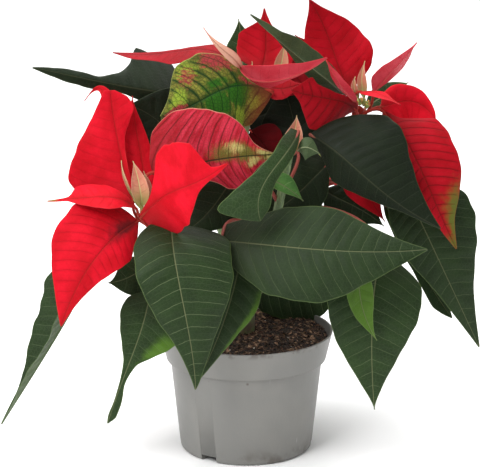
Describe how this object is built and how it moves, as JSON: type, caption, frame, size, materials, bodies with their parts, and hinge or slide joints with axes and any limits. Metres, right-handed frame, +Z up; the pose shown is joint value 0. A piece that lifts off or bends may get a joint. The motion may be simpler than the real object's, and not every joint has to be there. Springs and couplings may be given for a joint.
{
  "type": "potted poinsettia",
  "caption": "Red poinsettia with pointed dark green leaves, red and mottled bracts and small central flower clusters, growing in a round tapered grey plastic grower's pot of soil.",
  "frame": {"origin": "centre of the underside of the pot, on the surface it stands on", "axes": "+Z up along the pot's axis, -Y towards the plant's front, +X to the right seen from the front"},
  "size_m": [0.3551, 0.2662, 0.3374],
  "materials": {
    "pot_plastic": "satin",
    "peat": "matte",
    "stem_green": "satin",
    "leaf_green": "satin",
    "leaf_young": "satin",
    "bract_red": "satin",
    "bract_mottled": "satin",
    "young_cream": "satin"
  },
  "bodies": {
    "root": {"pot": "pot_plastic", "soil": "peat", "stem": "stem_green", "leaf_front_middle": "leaf_green", "leaf_front_left": "leaf_green", "leaf_right_upper": "leaf_green", "leaf_centre_folded": "leaf_green", "leaf_front_right": "leaf_green", "leaf_front_small": "leaf_green", "leaf_far_right": "leaf_green", "leaf_right_folded": "leaf_green", "leaf_far_left": "leaf_green", "leaf_left_waisted": "leaf_green", "leaf_left_small": "leaf_green", "leaf_front_under": "leaf_green", "leaf_middle_shaded": "leaf_green", "leaf_left_high": "leaf_green", "leaf_left_inner": "leaf_green", "leaf_top_behind": "leaf_green", "leaf_top_pale": "leaf_green", "leaf_top_inner": "leaf_green", "leaf_right_behind": "leaf_green", "leaf_centre_bright": "leaf_young", "leaf_right_shaded": "leaf_green", "leaf_centre_pale": "leaf_young", "leaf_middle_inner": "leaf_green", "leaf_middle_low": "leaf_green", "leaf_middle_deep": "leaf_green", "leaf_under_front": "leaf_green", "leaf_centre_pink": "young_cream", "leaf_back_left_low": "leaf_green", "leaf_back_left_out": "leaf_green", "leaf_back_middle": "leaf_green", "leaf_back_under": "leaf_green", "leaf_back_right_low": "leaf_green", "leaf_back_right_out": "leaf_green", "leaf_back_top": "leaf_green", "leaf_back_right_high": "leaf_green", "bracts_left": "bract_red", "centre_left": "young_cream", "bracts_top": "bract_red", "centre_top": "young_cream", "bracts_right": "bract_red", "centre_right": "young_cream", "bracts_back_left": "bract_red", "centre_back_left": "young_cream", "bracts_back_right": "bract_red", "centre_back_right": "young_cream", "bract_mottled_left": "bract_mottled", "bract_mottled_top": "bract_mottled"}
  },
  "joints": []
}
